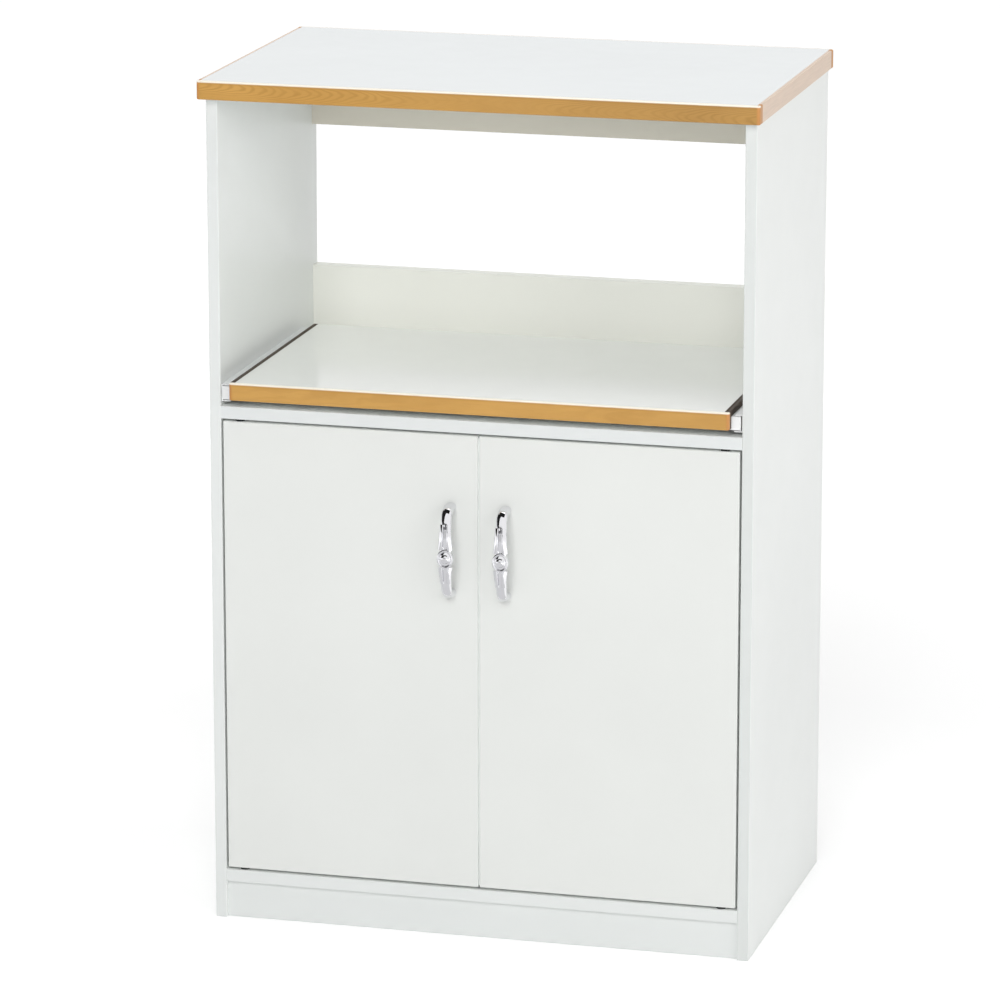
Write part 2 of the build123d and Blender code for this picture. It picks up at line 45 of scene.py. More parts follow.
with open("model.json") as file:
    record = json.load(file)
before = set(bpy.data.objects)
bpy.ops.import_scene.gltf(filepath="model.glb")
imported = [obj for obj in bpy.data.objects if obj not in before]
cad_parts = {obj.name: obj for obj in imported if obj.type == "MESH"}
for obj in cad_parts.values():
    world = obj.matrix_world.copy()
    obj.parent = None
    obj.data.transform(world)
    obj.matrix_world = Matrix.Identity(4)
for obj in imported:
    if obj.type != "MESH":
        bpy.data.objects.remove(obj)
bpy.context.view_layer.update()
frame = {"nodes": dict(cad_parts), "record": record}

SIDES = ("left", "right")
SLOT_OF_NODE = {part["node"]: part["material_slot"] for part in frame["record"]["subparts"]}
WHITE = (1.0, 1.0, 1.0)

# Sockets of a Mix node that mixes colours
MIX_AMOUNT = 0
MIX_FIRST = 6
MIX_SECOND = 7
MIX_RESULT = 2

# Range that most of a noise lies in
NOISE_LOW = 0.3
NOISE_HIGH = 0.7

# White facings: shades of their clouding, values of their roughness, depth of texture in metres
CLOUD_SHADES = (0.985, 1.008)
BOARD_GLOSS_SPREAD = 0.06
BOARD_TEXTURE = 0.00004
LAMINATE_GLOSS_SPREAD = 0.015
LAMINATE_TEXTURE = 0.00001
# Roughness of the painted gap shade along the tray's sides
TRAY_SHADE_ROUGHNESS = 0.7

# Margins along an edge, in metres short of it: where a tint starts and where it is full
# The tray's dark side margins are painted shade of the gap beside it.
TRAY_SHADE_MARGIN = (0.0030, 0.0024)
OAK_SEAM = (0.0048, 0.0026)
# Top margin of the oak bands that takes the pale line, partly a scrape and partly a painted highlight.
OAK_SCRAPE_AND_HIGHLIGHT = (0.0024, 0.0012)
OAK_END = (0.0045, 0.0025)
# Where the painted glare of the worktop's side edging gives way to its warm ends.
SIDE_GLARE_END = (0.0095, 0.0085)

# Drift of the oak's flames: along and across a band in metres, and their slope along it
OAK_SWAY = 0.0070
OAK_WANDER = 0.004
OAK_SLOPE = 0.012

# Places along an oak band from its middle, in shares of its half length
OAK_CALM_END = 0.20
OAK_FIGURE_FULL = 0.55
# Painted shade: where the oak starts and stops darkening towards the right end of a band.
OAK_SHADE_START = -0.65
OAK_SHADE_END = 0.75

# How much of the dark wood shows, as shares
OAK_CALM_STRENGTH = 0.25
OAK_PORE_STRENGTH = 0.40
OAK_RIPE_STRENGTH = 0.30
OAK_SEAM_STRENGTH = 0.45

# Bends of a handle's bow, in shares of the grip's reach and of the half height
ARM_STRAIGHT = (1.0, 0.30)
ARM_BEND = (0.93, 0.60)
SHOULDER = (0.75, 0.79)
END_BEND = (0.64, 0.90)
END_TURN_REACH = 0.40

# Half of a leaf's section, in shares of half its width and half its height
LEAF_HALF_SECTION = ((0.00, 0.05), (0.24, 0.07), (0.30, 0.35), (0.35, 0.88), (0.41, 1.00), (0.52, 0.93),
                     (0.66, 0.74), (0.80, 0.50), (0.92, 0.10), (1.00, -0.45), (0.97, -1.00))

# Heights along a leaf in shares of the leaf rise, and its inner end in shares of the knot's height
LEAF_HEIGHTS = (1.4, 2.0, 1.9, 1.1)
LEAF_INNER_END = 0.41

# Knot of a handle, in metres
BOSS_DEPTH = 0.0049
BOSS_SINK = 0.0011
BUTTON_DEPTH = 0.0026

# Fineness and fullness of a handle's forms
ARM_STATIONS = 28
END_STATIONS = 20
BOW_SIDES = 32
BOW_FULLNESS = 0.86
DOME_SEGMENTS = 36
DOME_RINGS = 24
RIM_STATIONS = 48
RIM_SIDES = 16
ROUND_FULLNESS = 1.0

# Closing strip, in metres, with its share of the gap between the doors
STRIP_SEAT = 0.0004
STRIP_SHARE = 0.72
STRIP_INSET = 0.0034
STRIP_DEPTH = 0.0120
STRIP_END = 0.0020
STRIP_ROUND = 0.0003
STRIP_ROUND_SEGMENTS = 3

# Meshes: distance in metres within which points are one, and the angle from which an edge is sharp
WELD = 0.00001
SHARP_EDGE = math.radians(42.0)

# Stage, in metres
LAMP_DISTANCE = 3.6
FLOOR_REACH = 40.0
FLOOR_DROP = 0.0002
FLOOR_NEAR = 0.9
FLOOR_FAR = 3.2
LOW_CARD_PLACE = (-0.6, -3.2, 0.002)
LOW_CARD_HALF_SIZE = (1.0, 3.0, 1.0)


def colour(name, description, default):
    """A colour that the user can change."""
    return FloatVectorProperty(name=name, description=description, default=default, subtype="COLOR",
                               size=3, min=0.0, max=1.0)


def length(name, description, default):
    """A length in metres that the user can change."""
    return FloatProperty(name=name, description=description, default=default, unit="LENGTH",
                         precision=4, min=0.0)


def share(name, description, default):
    """A value from 0 to 1 that the user can change."""
    return FloatProperty(name=name, description=description, default=default, subtype="FACTOR",
                         min=0.0, max=1.0)


class CabinetFinish(bpy.types.PropertyGroup):
    """Colours and gloss of the boards and fittings."""

    board_white: colour("Board white", "Facing of panels, shelves and plinth", (0.890, 0.912, 0.893))
    # Painted shade: a darker white for the front faces of the boards and plinth than for their other faces.
    edge_shade_white: colour("Edge white", "Front edges of boards and front of the plinth", (0.735, 0.757, 0.746))
    # Painted shade: the right panel's front edge is painted darker still than the other front edges.
    right_edge_shade_white: colour("Right edge white", "Front edge of the right panel", (0.674, 0.697, 0.684))
    # Painted shade: the fixed shelf's front edge, under the tray, is painted darker than the other front
    # edges.
    shelf_edge_shade_white: colour("Shelf edge white", "Front edge of the fixed shelf", (0.706, 0.733, 0.731))
    rail_white: colour("Rail white", "Warmer facing of the two back rails", (0.898, 0.900, 0.838))
    # Painted shade: the darker, warmer front of the upper back rail, which lies under the worktop.
    rail_shade: colour("Rail cream", "Yellowed front of the upper back rail", (0.826, 0.781, 0.679))
    # Door fronts: a warmer white of their own, painted darker than their edges as shade.
    door_white_and_shade: colour("Door white", "Fronts of the two doors", (0.735, 0.750, 0.728))
    worktop_white: colour("Worktop white", "Laminate of the worktop", (0.795, 0.832, 0.842))
    tray_white: colour("Tray white", "Laminate of the tray", (0.918, 0.930, 0.895))
    board_roughness: share("Board roughness", "Roughness of the facings", 0.38)
    laminate_roughness: share("Laminate roughness", "Roughness of worktop and tray", 0.14)
    oak_light: colour("Light oak", "Early wood of the oak bands", (0.588, 0.324, 0.080))
    oak_dark: colour("Dark oak", "Late wood of the oak bands", (0.388, 0.192, 0.036))
    oak_end: colour("Oak end grain", "Rounded ends of the oak bands", (0.520, 0.235, 0.062))
    # Pale line along the tops of the oak bands: partly a scrape, partly a painted highlight.
    trim_and_highlight: colour("Trimmed edge", "Scraped edges of the oak bands", (0.910, 0.850, 0.735))
    # Painted highlight: the worktop's oak side edges are painted pale as the glare of the light from the
    # right.
    side_glare_edge: colour("Pale edging", "Side edges of the worktop", (0.735, 0.580, 0.460))
    # Stained side edging of the tray, painted near black as the shade of the gaps beside it; also the tint
    # of the painted gap shade on the tray top.
    stain_and_gap_shade: colour("Stained edging", "Side edges of the tray", (0.055, 0.033, 0.018))
    chrome_tint: colour("Chrome", "Plating of the handles", (0.820, 0.820, 0.842))
    enamel_white: colour("Enamel white", "Slide channels, runners and catch", (0.820, 0.830, 0.830))
    nylon_natural: colour("Natural nylon", "Rollers of the slides", (0.700, 0.700, 0.660))
    nylon_dark: colour("Dark nylon", "Bushes of the door pivots", (0.030, 0.030, 0.030))
    ferrite: colour("Ferrite", "Magnets of the catch", (0.050, 0.050, 0.055))
    zinc: colour("Zinc", "Screws, shelf pins, nails and strike plates", (0.600, 0.600, 0.590))
    black_steel: colour("Blackened steel", "Pivot pins of the doors", (0.045, 0.045, 0.048))
    beech: colour("Beech", "Dowels between the boards", (0.660, 0.460, 0.270))
    beech_fleck: colour("Beech fleck", "Short dark flecks in the dowels", (0.400, 0.240, 0.120))


class HandleCasting(bpy.types.PropertyGroup):
    """Sizes of the cast bow handles."""

    grip_width: length("Grip width", "Width of the bow behind the knot", 0.0134)
    shoulder_width: length("Shoulder width", "Width of the bow where it bends to the door", 0.0121)
    foot_width: length("Foot width", "Width of the bow's ends on the door", 0.0125)
    grip_thickness: length("Grip thickness", "Thickness of the bow behind the knot", 0.0054)
    shoulder_thickness: length("Shoulder thickness", "Thickness of the bow at its bends", 0.0076)
    foot_thickness: length("Foot thickness", "Height of the feet on the door", 0.0104)
    leaf_rise: length("Leaf rise", "Height of the ribbed leaves on the arms", 0.0021)
    leaf_reach: length("Leaf reach", "Distance of the leaves' ends from the middle", 0.0350)
    leaf_knot_width: length("Leaf width at the knot", "Width of a leaf beside the knot", 0.0166)
    leaf_end_width: length("Leaf width at the end", "Width of a leaf's outer end", 0.0126)
    knot_drop: length("Knot drop", "Distance of the knot below the middle", 0.0050)
    knot_width: length("Knot width", "Width of the oval knot", 0.0186)
    knot_height: length("Knot height", "Height of the oval knot", 0.0220)
    rim_wire: length("Rim wire", "Thickness of the rim round the knot", 0.0028)
    button_width: length("Button width", "Width of the round face in the knot", 0.0108)
    button_rise: length("Button rise", "Height of the round face above the bow", 0.0030)


class StudioSetup(bpy.types.PropertyGroup):
    """Camera and light."""

    view_azimuth: FloatProperty(name="View azimuth", subtype="ANGLE", default=math.radians(14.96),
                                description="Camera's turn to the right of the front")
    view_elevation: FloatProperty(name="View elevation", subtype="ANGLE", default=math.radians(14.00),
                                  description="Camera's height as an angle")
    view_distance: length("View distance", "Distance from the camera to its aim", 6.247)
    aim: FloatVectorProperty(name="Aim", description="Point in the middle of the picture",
                             default=(-0.0216, 0.0, 0.4652), subtype="TRANSLATION", unit="LENGTH")
    lens: FloatProperty(name="Lens", description="Focal length in millimetres on a 36 mm sensor",
                        default=198.0, subtype="DISTANCE_CAMERA")
    dome_level: share("Dome level", "Light from the room on matt surfaces", 0.26)
    key_level: share("Key level", "Light from the large lamp in front", 0.50)
    fill_level: share("Fill level", "Light from the lamp at the front right", 0.19)
    side_level: share("Side level", "Light from the lamp at the right", 0.12)
    left_level: share("Left level", "Light from the lamp at the left", 0.16)
    top_level: share("Top level", "Light from overhead", 0.25)
    back_level: share("Back level", "Light from the lamp behind", 0.12)
    floor_white: colour("Floor", "Plain pale floor", (0.88, 0.88, 0.88))
    near_lift: share("Near lift", "White added to the floor close to the object", 0.20)
    far_lift: share("Far lift", "White added to the floor far from the object", 0.55)


def shade(tint, amount):
    """A colour made lighter or darker."""
    return tuple(min(1.0, channel * amount) for channel in tint)


def half_size(box):
    """Half the size of a box that is given by two corners."""
    low, high = box
    return (high - low) / 2


class Finish:
    """One procedural material: a principled shader and the nodes that feed it."""

    def __init__(self, name):
        self.material = bpy.data.materials.new(name)
        self.material.use_nodes = True
        self.tree = self.material.node_tree
        self.shader = self.tree.nodes["Principled BSDF"]
        coordinates = self.add("ShaderNodeTexCoord")
        self.place = coordinates.outputs["Object"]
        self.facing = coordinates.outputs["Normal"]

    def feed(self, socket, value):
        """Joins an output to a socket, or sets the socket's own value."""
        if isinstance(value, bpy.types.NodeSocket):
            self.tree.links.new(value, socket)
        elif socket.type == "RGBA":
            socket.default_value = (*value, 1.0)
        else:
            socket.default_value = value

    def add(self, kind, sockets=None, **settings):
        """New node with its settings and with what feeds its sockets."""
        node = self.tree.nodes.new(kind)
        for name, value in settings.items():
            setattr(node, name, value)
        for name, value in (sockets or {}).items():
            self.feed(node.inputs[name], value)
        return node

    def set(self, **sockets):
        """Feeds the shader: words in a name are joined by underscores."""
        for name, value in sockets.items():
            self.feed(self.shader.inputs[name.replace("_", " ")], value)
        return self

    def bump(self, height, depth, strength):
        """Fine relief of a depth in metres."""
        sockets = {"Height": height, "Distance": depth, "Strength": strength}
        return self.set(Normal=self.add("ShaderNodeBump", sockets).outputs[0])

    def stretched(self, scale=(1.0, 1.0, 1.0), centre=(0.0, 0.0, 0.0)):
        """Object coordinates moved so that centre is zero, then scaled."""
        shift = tuple(-c * s for c, s in zip(centre, scale))
        sockets = {"Vector": self.place, "Location": shift, "Scale": scale}
        return self.add("ShaderNodeMapping", sockets).outputs[0]

    def split(self, vector):
        """X, Y and Z of a vector."""
        return self.add("ShaderNodeSeparateXYZ", {0: vector}).outputs

    def from_middle(self, box):
        """X, Y and Z from the middle of a box that is given by two corners."""
        low, high = box
        return self.split(self.stretched(centre=(low + high) / 2))

    def noise(self, scale=1.0, detail=2.0, along=(1.0, 1.0, 1.0)):
        """Noise of one scale in all directions, or with a scale along each axis."""
        sockets = {"Vector": self.stretched(along), "Scale": scale, "Detail": detail}
        return self.add("ShaderNodeTexNoise", sockets).outputs[0]

    def calc(self, operation, first, second=0.0, third=0.0):
        """Result of one Math node."""
        sockets = dict(enumerate((first, second, third)))
        return self.add("ShaderNodeMath", sockets, operation=operation).outputs[0]

    def ramp(self, value, low, high, at_low=0.0, at_high=1.0):
        """Goes from at_low to at_high while a value goes from low to high."""
        sockets = {"Value": value, "From Min": low, "From Max": high,
                   "To Min": at_low, "To Max": at_high}
        return self.add("ShaderNodeMapRange", sockets).outputs[0]

    def margin(self, place, edge, start, full, strength=1.0):
        """Value that grows towards an edge, from zero at start short of it to its strength at full."""
        return self.ramp(place, edge - start, edge - full, at_high=strength)

    def uneven(self, noise, middle, spread):
        """Value that a noise moves up and down from its middle."""
        return self.ramp(noise, NOISE_LOW, NOISE_HIGH, middle - spread, middle + spread)

    def mix(self, amount, first, second):
        """Colour that an amount takes from the first to the second."""
        sockets = {MIX_AMOUNT: amount, MIX_FIRST: first, MIX_SECOND: second}
        return self.add("ShaderNodeMix", sockets, data_type="RGBA").outputs[MIX_RESULT]

    def mottle(self, amount, tint, darker, lighter):
        """Colour that an amount takes from a darker to a lighter shade of one tint."""
        return self.mix(amount, shade(tint, darker), shade(tint, lighter))


def pressed_facing(name, roughness, gloss_spread, texture_depth):
    """Finish with the fine texture of a pressed facing, and its clouding and uneven gloss."""
    finish = Finish(name)
    clouds = finish.ramp(finish.noise(scale=5.0, detail=3.0), low=0.35, high=0.65)
    gloss = finish.uneven(finish.noise(scale=38.0, detail=4.0), roughness, gloss_spread)
    texture = finish.calc("ADD", finish.noise(scale=260.0), finish.noise(scale=1500.0, detail=1.0))
    return finish.bump(texture, texture_depth, strength=0.35), clouds, gloss


def white_facing(name, tint, front_shade_tint, **surface):
    """Faintly clouded white facing, with a painted shade tint on what faces the front."""
    finish, clouds, gloss = pressed_facing(name, **surface)
    face = finish.mottle(clouds, tint, *CLOUD_SHADES)
    # Painted shade: faces that look to the front take the darker front tint where it differs from the main
    # one.
    front = finish.mottle(clouds, front_shade_tint, *CLOUD_SHADES)
    backward = finish.split(finish.facing)["Y"]
    front_shade_mask = finish.ramp(backward, low=-0.8, high=-0.5, at_low=1.0, at_high=0.0)
    return finish.set(Base_Color=finish.mix(front_shade_mask, face, front), Roughness=gloss).material


def tray_facing(name, tint, gap_shade_tint, half_width, **surface):
    """Faintly clouded white laminate whose side margins are painted dark as the shade of the gap beside the
    tray.
    """
    finish, clouds, gloss = pressed_facing(name, **surface)
    face = finish.mottle(clouds, tint, *CLOUD_SHADES)
    across = finish.calc("ABSOLUTE", finish.split(finish.place)["X"])
    # Painted shade: a dark strip along each side of the tray top stands for the gap between tray and slide.
    margin = finish.margin(across, half_width, *TRAY_SHADE_MARGIN)
    dull = finish.calc("MAXIMUM", gloss, finish.calc("MULTIPLY", margin, TRAY_SHADE_ROUGHNESS))
    return finish.set(Base_Color=finish.mix(margin, face, gap_shade_tint), Roughness=dull).material


def oak_flames(finish, x, z, half_length, flame, crown_run, ring_spacing, streak):
    """Late wood of an oak band: arched rings, strong towards its ends and calm in its middle."""
    outward = finish.calc("ABSOLUTE", x)
    sway = finish.calc("SUBTRACT", finish.noise(detail=3.0, along=(22.0, 22.0, 70.0)), 0.5)
    wander = finish.uneven(finish.noise(detail=1.0, along=(7.0, 7.0, 7.0)), 0.0, OAK_WANDER)
    off_axis = finish.calc("ADD", z, finish.calc("MULTIPLY_ADD", x, OAK_SLOPE, wander))
    arch = finish.calc("MULTIPLY", finish.calc("MULTIPLY", off_axis, off_axis), flame)
    run = finish.calc("SUBTRACT", finish.calc("MULTIPLY", outward, crown_run), arch)
    run = finish.calc("MULTIPLY_ADD", sway, OAK_SWAY, run)
    rings = finish.calc("SINE", finish.calc("MULTIPLY", run, 2.0 * math.pi / ring_spacing))
    bands = finish.ramp(rings, low=-0.2, high=1.0)
    patches = finish.ramp(finish.noise(along=(9.0, 9.0, 45.0)), low=0.35, high=0.65, at_low=0.15)
    figured = finish.ramp(outward, OAK_CALM_END * half_length, OAK_FIGURE_FULL * half_length,
                          at_low=OAK_CALM_STRENGTH * streak, at_high=streak)
    return finish.calc("MULTIPLY", finish.calc("MULTIPLY", bands, patches), figured)


def oak_band(name, tints, box, right_shade, **figure):
    """Oak edging: flames that open to both ends, fine pores, warm ends, and a pale line on top that is
    partly a scrape and partly a painted highlight on all that faces up.
    """
    finish = Finish(name)
    half = half_size(box)
    x, _, z = finish.from_middle(box)
    fibres = finish.noise(detail=3.0, along=(55.0, 900.0, 1500.0))
    pores = finish.ramp(fibres, low=0.60, high=0.74, at_high=OAK_PORE_STRENGTH)
    dark = finish.calc("MAXIMUM", oak_flames(finish, x, z, half.x, **figure), pores)
    # Painted shade: the oak grows darker towards the band's right end.
    shade_rightward = finish.ramp(x, OAK_SHADE_START * half.x, OAK_SHADE_END * half.x)
    early = finish.mix(shade_rightward, tints.oak_light, shade(tints.oak_light, right_shade))
    late = finish.mix(shade_rightward, tints.oak_dark, shade(tints.oak_dark, right_shade))
    ripening = finish.noise(along=(14.0, 14.0, 30.0))
    ripe = finish.ramp(ripening, NOISE_LOW, NOISE_HIGH, at_high=OAK_RIPE_STRENGTH)
    wood = finish.mix(ripe, finish.mix(dark, early, late), late)
    wood = finish.mix(finish.margin(z, half.z, *OAK_SEAM, strength=OAK_SEAM_STRENGTH), wood, late)
    ends = finish.margin(finish.calc("ABSOLUTE", x), half.x, *OAK_END)
    wood = finish.mix(ends, wood, tints.oak_end)
    # Painted highlight: all that faces up takes the pale trim tint, as does the scrape along the top
    # margin.
    top_highlight_mask = finish.ramp(finish.split(finish.facing)["Z"], low=0.20, high=0.60)
    scraped_and_highlight = finish.calc("MAXIMUM", finish.margin(z, half.z, *OAK_SCRAPE_AND_HIGHLIGHT), top_highlight_mask)
    wood = finish.mix(scraped_and_highlight, wood, tints.trim_and_highlight)
    gloss = finish.ramp(dark, low=0.0, high=1.0, at_low=0.34, at_high=0.46)
    finish.set(Base_Color=wood, Roughness=gloss, Coat_Weight=0.12, Coat_Roughness=0.22)
    return finish.bump(finish.calc("SUBTRACT", 1.0, dark), depth=0.00006, strength=0.4).material


def stained_band(name, tint):
    """Dark stained edging with fine grain along the edge, painted near black so that it also stands for the
    shade of the gap beside the tray.
    """
    finish = Finish(name)
    grain = finish.noise(detail=4.0, along=(900.0, 40.0, 900.0))
    tone = finish.mottle(finish.ramp(grain, low=0.35, high=0.7), tint, darker=0.75, lighter=1.35)
    finish.set(Base_Color=tone, Roughness=0.55)
    return finish.bump(grain, depth=0.00004, strength=0.4).material


def glare_band(name, tint, end_tint, box):
    """Oak side edging painted pale as the glare of the light from the right, with a fine grain along the
    edge and warm ends.
    """
    finish = Finish(name)
    grain = finish.noise(detail=4.0, along=(900.0, 30.0, 900.0))
    tone = finish.mottle(finish.ramp(grain, NOISE_LOW, NOISE_HIGH), tint, darker=0.94, lighter=1.05)
    along_edge = finish.calc("ABSOLUTE", finish.from_middle(box)["Y"])
    ends = finish.margin(along_edge, half_size(box).y, *SIDE_GLARE_END)
    finish.set(Base_Color=finish.mix(ends, tone, end_tint), Roughness=0.45)
    return finish.bump(grain, depth=0.00004, strength=0.4).material


def plated_chrome(name, tint):
    """Bright plating with a breath of haze and slight waviness from casting."""
    finish = Finish(name)
    tone = finish.mottle(finish.noise(scale=160.0), tint, darker=0.97, lighter=1.03)
    breath = finish.noise(scale=90.0, detail=4.0)
    haze = finish.ramp(breath, low=0.35, high=0.75, at_low=0.05, at_high=0.12)
    finish.set(Base_Color=tone, Metallic=1.0, Roughness=haze)
    return finish.bump(finish.noise(scale=130.0, detail=1.0), depth=0.00010, strength=0.25).material


def rolled_metal(name, tint, roughness):
    """Zinc-plated or blackened steel with a fine drawn texture."""
    finish = Finish(name)
    drawn = finish.noise(detail=4.0, along=(260.0, 1500.0, 1500.0))
    tone = finish.mottle(drawn, tint, darker=0.85, lighter=1.1)
    gloss = finish.uneven(drawn, roughness, spread=0.07)
    finish.set(Base_Color=tone, Metallic=1.0, Roughness=gloss)
    return finish.bump(drawn, depth=0.00003, strength=0.4).material


def enamel(name, tint):
    """Baked enamel on sheet steel, with a slight orange peel."""
    finish = Finish(name)
    tone = finish.mottle(finish.noise(scale=14.0), tint, darker=0.985, lighter=1.012)
    gloss = finish.uneven(finish.noise(scale=60.0), middle=0.30, spread=0.03)
    finish.set(Base_Color=tone, Roughness=gloss)
    return finish.bump(finish.noise(scale=900.0, detail=1.0), depth=0.00001, strength=0.3).material


def moulded_plastic(name, tint, roughness):
    """Moulded plastic with a fine eroded grain."""
    finish = Finish(name)
    tone = finish.mottle(finish.noise(scale=60.0, detail=3.0), tint, darker=0.92, lighter=1.06)
    gloss = finish.uneven(finish.noise(scale=300.0), roughness, spread=0.05)
    finish.set(Base_Color=tone, Roughness=gloss)
    return finish.bump(finish.noise(scale=1800.0, detail=1.0), depth=0.00005, strength=0.5).material


def bare_beech(name, tint, fleck_tint):
    """Unfinished beech with short dark flecks."""
    finish = Finish(name)
    flecks = finish.ramp(finish.noise(along=(300.0, 2400.0, 2400.0)), low=0.58, high=0.70)
    return finish.set(Base_Color=finish.mix(flecks, tint, fleck_tint), Roughness=0.6).material


def dress(material, *nodes):
    """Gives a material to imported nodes."""
    for node in nodes:
        for place in frame["nodes"][node].material_slots:
            place.material = material


def slot_nodes(slot):
    """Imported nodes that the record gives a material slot."""
    return [node for node, given in SLOT_OF_NODE.items() if given == slot]


def dress_slots(finishes):
    """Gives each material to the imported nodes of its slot."""
    for slot, material in finishes.items():
        dress(material, *slot_nodes(slot))


class CABINET_OT_facings(bpy.types.Operator):
    """Finish the white boards, doors, worktop and tray"""

    bl_idname = "cabinet.facings"
    bl_label = "White Facings"

    def execute(self, context):
        tints = context.scene.cabinet_finish
        board = {"roughness": tints.board_roughness, "gloss_spread": BOARD_GLOSS_SPREAD,
                 "texture_depth": BOARD_TEXTURE}
        laminate = {"roughness": tints.laminate_roughness, "gloss_spread": LAMINATE_GLOSS_SPREAD,
                    "texture_depth": LAMINATE_TEXTURE}
        # Front tints darker than the main tint are painted shade on the faces that look to the front.
        facings = (
            ("white_board_facing", tints.board_white, tints.edge_shade_white, board, slot_nodes("board_facing")),
            ("right_panel_facing", tints.board_white, tints.right_edge_shade_white, board, ["right_side_panel"]),
            ("fixed_shelf_facing", tints.board_white, tints.shelf_edge_shade_white, board, ["fixed_shelf"]),
            ("white_door_facing", tints.board_white, tints.door_white_and_shade, board, slot_nodes("door_facing")),
            # The upper rail's front tint is painted shade.
            ("shaded_rail_facing", tints.rail_white, tints.rail_shade, board, ["upper_back_rail"]),
            ("warm_rail_facing", tints.rail_white, tints.rail_white, board, ["lower_back_rail"]),
            ("worktop_laminate", tints.worktop_white, tints.worktop_white, laminate, ["top_board"]),
        )
        for name, tint, front_shade_tint, surface, nodes in facings:
            dress(white_facing(name, tint, front_shade_tint, **surface), *nodes)
        half_width = half_size(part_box("tray_board")).x
        tray = tray_facing("tray_laminate", tints.tray_white, tints.stain_and_gap_shade, half_width, **laminate)
        dress(tray, "tray_board", "tray_back_edging")
        return {"FINISHED"}


class CABINET_OT_edging(bpy.types.Operator):
    """Finish the oak bands, the worktop's side edges painted pale as glare, and the tray's stained side
    edges painted near black as shade
    """

    bl_idname = "cabinet.edging"
    bl_label = "Edging"

    def execute(self, context):
        tints = context.scene.cabinet_finish
        top_band = oak_band("arched_oak_band", tints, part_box("top_front_edging"), right_shade=0.78,
                            flame=80.0, crown_run=0.20, ring_spacing=0.0026, streak=0.80)
        tray_band = oak_band("fine_oak_band", tints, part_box("tray_front_edging"), right_shade=0.97,
                             flame=30.0, crown_run=0.04, ring_spacing=0.0030, streak=0.30)
        pale = glare_band("side_glare_edging", tints.side_glare_edge, tints.oak_end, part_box("top_right_edging"))
        stained = stained_band("stained_edging", tints.stain_and_gap_shade)
        dress_slots({"top_oak_edging": top_band, "tray_oak_edging": tray_band, "pale_edging": pale,
                     "stained_edging": stained})
        return {"FINISHED"}


class CABINET_OT_fittings(bpy.types.Operator):
    """Finish slides, rollers, pivots, catch, screws and dowels"""

    bl_idname = "cabinet.fittings"
    bl_label = "Fittings"

    def execute(self, context):
        tints = context.scene.cabinet_finish
        dress_slots({
            "slide_enamel": enamel("slide_enamel", tints.enamel_white),
            "roller_nylon": moulded_plastic("roller_nylon", tints.nylon_natural, roughness=0.40),
            "pivot_nylon": moulded_plastic("pivot_nylon", tints.nylon_dark, roughness=0.45),
            "catch_plastic": moulded_plastic("catch_plastic", tints.enamel_white, roughness=0.38),
            "magnet_ferrite": moulded_plastic("ferrite", tints.ferrite, roughness=0.55),
            "zinc_steel": rolled_metal("zinc_steel", tints.zinc, roughness=0.30),
            "blackened_steel": rolled_metal("blackened_steel", tints.black_steel, roughness=0.45),
            "dowel_beech": bare_beech("bare_beech", tints.beech, tints.beech_fleck),
        })
        return {"FINISHED"}


def section_ring(count, fullness):
    """Rounded section as points on a unit square: a lower fullness is squarer."""
    def bulge(value):
        return math.copysign(abs(value) ** fullness, value)

    turns = [2.0 * math.pi * n / count for n in range(count)]
    return [(bulge(math.cos(turn)), bulge(math.sin(turn))) for turn in turns]


def station(point, along, across_size, outward_size):
    """Matrix that carries a unit section to a point of a path in the handle's middle plane."""
    across = Vector((1.0, 0.0, 0.0))
    outward = across.cross(along).normalized()
    columns = (across * across_size, outward * outward_size, along.normalized())
    turn = Matrix(columns).transposed().to_4x4()
    return Matrix.Translation(point) @ turn


def path_stations(points, widths, heights):
    """Stations along a path, with the section's half sizes at each point."""
    places = []
    for n, point in enumerate(points):
        before = points[max(n - 1, 0)]
        after = points[min(n + 1, len(points) - 1)]
        places.append(station(point, after - before, widths[n] / 2, heights[n] / 2))
    return places


def sweep(bm, section, stations, closed=False):
    """Bar with flat ends, or a closed loop: a section carried from station to station."""
    first = stations[0]
    loop = [bm.verts.new(first @ Vector((u, v, 0.0))) for u, v in section]
    edges = [bm.edges.new((a, b)) for a, b in zip(loop, loop[1:] + loop[:1])]
    ends = list(edges)
    for before, after in zip(stations, stations[1:]):
        grown = bmesh.ops.extrude_edge_only(bm, edges=edges)["geom"]
        verts = [item for item in grown if isinstance(item, bmesh.types.BMVert)]
        bmesh.ops.transform(bm, matrix=after @ before.inverted(), verts=verts)
        edges = [item for item in grown if isinstance(item, bmesh.types.BMEdge)
                 and all(vert in verts for vert in item.verts)]
    if closed:
        seam = {vert for edge in ends + edges for vert in edge.verts}
        bmesh.ops.remove_doubles(bm, verts=list(seam), dist=WELD)
    else:
        bmesh.ops.holes_fill(bm, edges=ends + edges)


def blend_sizes(count, *sizes):
    """Sizes spread evenly over a number of stations."""
    values = []
    for n in range(count):
        at = n / (count - 1) * (len(sizes) - 1)
        low = min(int(at), len(sizes) - 2)
        values.append(sizes[low] + (sizes[low + 1] - sizes[low]) * (at - low))
    return values


def bend(points, count):
    """Smooth curve in the handle's middle plane from four pairs of reach and height."""
    return interpolate_bezier(*[Vector((0.0, -reach, rise)) for reach, rise in points], count)


